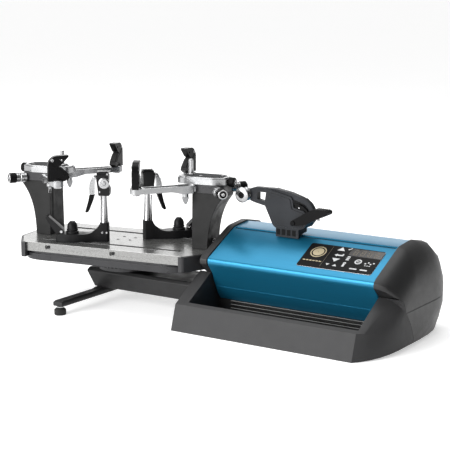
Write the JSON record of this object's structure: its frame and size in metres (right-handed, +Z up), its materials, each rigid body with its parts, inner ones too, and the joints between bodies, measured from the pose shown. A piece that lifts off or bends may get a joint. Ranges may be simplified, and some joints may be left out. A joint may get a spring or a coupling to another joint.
{
  "type": "electronic racket stringing machine",
  "caption": "Table-top racket stringing machine: turntable with two towers, racket hooks and string clamps, beside an electric tension head.",
  "frame": {"origin": "middle of the footprint, at table height", "axes": "+X along the beam from the turntable to the tension head, +Y to the back, +Z up"},
  "size_m": [1.0235, 0.414, 0.3533],
  "materials": {
    "frame_paint": "satin black powder coat",
    "foot_rubber": "matt moulded rubber",
    "black_plastic": "fine moulded texture",
    "housing_plastic": "fine moulded texture, dark grey",
    "blue_metal": "brushed and anodised blue",
    "panel_film": "printed glossy film",
    "bright_steel": "turned and polished",
    "skirt_metal": "dark grey satin coat",
    "plate_metal": "brushed natural",
    "carriage_metal": "dark grey cast and coated",
    "tower_metal": "dark grey cast and coated",
    "silver_metal": "cast, satin silver coat",
    "clamp_black": "black anodised casting",
    "grip_plastic": "semi-gloss moulded",
    "hook_plastic": "matt moulded"
  },
  "bodies": {
    "base": {"beam": "frame_paint", "cross_leg": "frame_paint", "foot_front": "foot_rubber", "foot_back": "foot_rubber", "bearing_ring": "black_plastic", "tray": "housing_plastic", "rear_cover": "housing_plastic", "end_cap_left": "housing_plastic", "end_cap_right": "housing_plastic", "blue_extrusion": "blue_metal", "vent_grille": "black_plastic", "control_panel": "panel_film", "guide_rail": "bright_steel"},
    "turntable": {"turntable_hub": "black_plastic", "turntable_skirt": "skirt_metal", "turntable_plate": "plate_metal", "plate_cap_left": "black_plastic", "plate_cap_right": "black_plastic"},
    "tower_left": {"tower_left": "tower_metal", "saddle_left": "silver_metal", "yoke_plate_left": "silver_metal", "support_pin_left": "bright_steel"},
    "tower_left_lock": {"tower_left_lock": "bright_steel"},
    "tower_right": {"tower_right": "tower_metal", "saddle_right": "silver_metal", "yoke_plate_right": "silver_metal", "support_pin_right": "bright_steel"},
    "tower_right_lock": {"tower_right_lock": "bright_steel"},
    "arm_front_right": {"front_right_arm": "silver_metal"},
    "knob_front_right": {"front_right_knob": "grip_plastic"},
    "hook_front_right": {"front_right_hook": "hook_plastic"},
    "arm_back_right": {"back_right_arm": "silver_metal"},
    "knob_back_right": {"back_right_knob": "grip_plastic"},
    "hook_back_right": {"back_right_hook": "hook_plastic"},
    "arm_back_left": {"back_left_arm": "silver_metal"},
    "knob_back_left": {"back_left_knob": "grip_plastic"},
    "hook_back_left": {"back_left_hook": "hook_plastic"},
    "arm_front_left": {"front_left_arm": "silver_metal"},
    "knob_front_left": {"front_left_knob": "grip_plastic"},
    "hook_front_left": {"front_left_hook": "hook_plastic"},
    "clamp_left_glide": {"clamp_left_glide": "bright_steel"},
    "clamp_left_base": {"clamp_left_base": "clamp_black"},
    "clamp_left_lock": {"clamp_left_lock": "clamp_black"},
    "clamp_left_head": {"clamp_left_post": "bright_steel", "clamp_left_head": "clamp_black"},
    "clamp_left_dial": {"clamp_left_dial": "silver_metal"},
    "clamp_left_lever": {"clamp_left_lever": "silver_metal", "clamp_left_handle": "grip_plastic"},
    "clamp_right_glide": {"clamp_right_glide": "bright_steel"},
    "clamp_right_base": {"clamp_right_base": "clamp_black"},
    "clamp_right_lock": {"clamp_right_lock": "clamp_black"},
    "clamp_right_head": {"clamp_right_post": "bright_steel", "clamp_right_head": "clamp_black"},
    "clamp_right_dial": {"clamp_right_dial": "silver_metal"},
    "clamp_right_lever": {"clamp_right_lever": "silver_metal", "clamp_right_handle": "grip_plastic"},
    "carriage": {"slider": "bright_steel", "carriage_body": "carriage_metal"},
    "nose_disc": {"nose_disc": "bright_steel"},
    "grip_lever": {"grip_lever": "carriage_metal"}
  },
  "joints": [
    {"name": "turntable_spin", "type": "hinge", "parent": "base", "child": "turntable", "pos_m": [-0.2222, -0.0095, 0.1], "axis": [0, 0, 1], "continuous": true},
    {"name": "tower_left_slide", "type": "slide", "parent": "turntable", "child": "tower_left", "axis": [-0.9874, -0.1582, 0], "range_m": [-0.02, 0]},
    {"name": "tower_left_lock_turn", "type": "hinge", "parent": "tower_left", "child": "tower_left_lock", "pos_m": [-0.44512, -0.03913, 0.164], "axis": [-0.9874, -0.1582, 0], "range_deg": [-60, 60]},
    {"name": "tower_right_slide", "type": "slide", "parent": "turntable", "child": "tower_right", "axis": [0.9874, 0.1582, 0], "range_m": [-0.02, 0]},
    {"name": "tower_right_lock_turn", "type": "hinge", "parent": "tower_right", "child": "tower_right_lock", "pos_m": [0.00072, 0.02013, 0.164], "axis": [0.9874, 0.1582, 0], "range_deg": [-60, 60]},
    {"name": "arm_front_right_slide", "type": "slide", "parent": "tower_right", "child": "arm_front_right", "axis": [-0.5505, -0.8348, 0], "range_m": [-0.004, 0.012]},
    {"name": "knob_front_right_turn", "type": "hinge", "parent": "tower_right", "child": "knob_front_right", "pos_m": [-0.00694, 0.02498, 0.282], "axis": [-0.5505, -0.8348, 0], "range_deg": [-361, 1081]},
    {"name": "hook_front_right_swivel", "type": "hinge", "parent": "arm_front_right", "child": "hook_front_right", "pos_m": [-0.10493, -0.12362, 0.2943], "axis": [0, 0, 1], "range_deg": [-35, 35]},
    {"name": "arm_back_right_slide", "type": "slide", "parent": "tower_right", "child": "arm_back_right", "axis": [-0.7837, 0.6211, 0], "range_m": [-0.004, 0.012]},
    {"name": "knob_back_right_turn", "type": "hinge", "parent": "tower_right", "child": "knob_back_right", "pos_m": [-0.00694, 0.02498, 0.282], "axis": [-0.7837, 0.6211, 0], "range_deg": [-361, 1081]},
    {"name": "hook_back_right_swivel", "type": "hinge", "parent": "arm_back_right", "child": "hook_back_right", "pos_m": [-0.14252, 0.13244, 0.2943], "axis": [0, 0, 1], "range_deg": [-35, 35]},
    {"name": "arm_back_left_slide", "type": "slide", "parent": "tower_left", "child": "arm_back_left", "axis": [0.5505, 0.8348, 0], "range_m": [-0.004, 0.012]},
    {"name": "knob_back_left_turn", "type": "hinge", "parent": "tower_left", "child": "knob_back_left", "pos_m": [-0.43746, -0.04398, 0.282], "axis": [0.5505, 0.8348, 0], "range_deg": [-361, 1081]},
    {"name": "hook_back_left_swivel", "type": "hinge", "parent": "arm_back_left", "child": "hook_back_left", "pos_m": [-0.33782, 0.10713, 0.2943], "axis": [0, 0, 1], "range_deg": [-35, 35]},
    {"name": "arm_front_left_slide", "type": "slide", "parent": "tower_left", "child": "arm_front_left", "axis": [0.7837, -0.6211, 0], "range_m": [-0.004, 0.012]},
    {"name": "knob_front_left_turn", "type": "hinge", "parent": "tower_left", "child": "knob_front_left", "pos_m": [-0.43746, -0.04398, 0.282], "axis": [0.7837, -0.6211, 0], "range_deg": [-361, 1081]},
    {"name": "hook_front_left_swivel", "type": "hinge", "parent": "arm_front_left", "child": "hook_front_left", "pos_m": [-0.31442, -0.1415, 0.2943], "axis": [0, 0, 1], "range_deg": [-35, 35]},
    {"name": "clamp_left_glide_slide", "type": "slide", "parent": "turntable", "child": "clamp_left_glide", "axis": [-0.9874, -0.1582, 0], "range_m": [-0.02, 0.02]},
    {"name": "clamp_left_swivel", "type": "hinge", "parent": "clamp_left_glide", "child": "clamp_left_base", "pos_m": [-0.31169, -0.09574, 0.148], "axis": [0, 0, 1], "range_deg": [-20, 25]},
    {"name": "clamp_left_lock_lift", "type": "hinge", "parent": "clamp_left_base", "child": "clamp_left_lock", "pos_m": [-0.3289, -0.10592, 0.1671], "axis": [-0.509, 0.8607, 0], "range_deg": [0, 20]},
    {"name": "clamp_left_head_turn", "type": "hinge", "parent": "clamp_left_base", "child": "clamp_left_head", "pos_m": [-0.24713, -0.05756, 0.192], "axis": [0, 0, 1], "range_deg": [-60, 60]},
    {"name": "clamp_left_dial_turn", "type": "hinge", "parent": "clamp_left_head", "child": "clamp_left_dial", "pos_m": [-0.24541, -0.05654, 0.286], "axis": [-0.509, 0.8607, 0], "continuous": true},
    {"name": "clamp_left_lever_swing", "type": "hinge", "parent": "clamp_left_head", "child": "clamp_left_lever", "pos_m": [-0.26521, -0.06825, 0.298], "axis": [-0.509, 0.8607, 0], "range_deg": [-5, 25]},
    {"name": "clamp_right_glide_slide", "type": "slide", "parent": "turntable", "child": "clamp_right_glide", "axis": [0.9874, 0.1582, 0], "range_m": [-0.02, 0.02]},
    {"name": "clamp_right_swivel", "type": "hinge", "parent": "clamp_right_glide", "child": "clamp_right_base", "pos_m": [-0.13271, 0.07674, 0.148], "axis": [0, 0, 1], "range_deg": [-35, 8]},
    {"name": "clamp_right_lock_lift", "type": "hinge", "parent": "clamp_right_base", "child": "clamp_right_lock", "pos_m": [-0.11962, 0.09186, 0.1671], "axis": [0.7559, -0.6547, 0], "range_deg": [0, 20]},
    {"name": "clamp_right_head_turn", "type": "hinge", "parent": "clamp_right_base", "child": "clamp_right_head", "pos_m": [-0.18182, 0.02005, 0.192], "axis": [0, 0, 1], "range_deg": [-60, 60]},
    {"name": "clamp_right_dial_turn", "type": "hinge", "parent": "clamp_right_head", "child": "clamp_right_dial", "pos_m": [-0.18313, 0.01854, 0.286], "axis": [0.7559, -0.6547, 0], "continuous": true},
    {"name": "clamp_right_lever_swing", "type": "hinge", "parent": "clamp_right_head", "child": "clamp_right_lever", "pos_m": [-0.16807, 0.03592, 0.298], "axis": [0.7559, -0.6547, 0], "range_deg": [-5, 25]},
    {"name": "carriage_slide", "type": "slide", "parent": "base", "child": "carriage", "axis": [1, 0, 0], "range_m": [0, 0.2]},
    {"name": "nose_disc_spin", "type": "hinge", "parent": "carriage", "child": "nose_disc", "pos_m": [0.0853, 0.0205, 0.2785], "axis": [0, 1, 0], "continuous": true},
    {"name": "grip_lever_press", "type": "hinge", "parent": "carriage", "child": "grip_lever", "pos_m": [0.2168, 0.0115, 0.228], "axis": [0, 1, 0], "range_deg": [0, 15]}
  ],
  "couplings": [
    {"joint": "knob_front_right_turn", "follows": "arm_front_right_slide", "rad_per_m": 1570.8},
    {"joint": "knob_back_right_turn", "follows": "arm_back_right_slide", "rad_per_m": 1570.8},
    {"joint": "knob_back_left_turn", "follows": "arm_back_left_slide", "rad_per_m": 1570.8},
    {"joint": "knob_front_left_turn", "follows": "arm_front_left_slide", "rad_per_m": 1570.8}
  ]
}
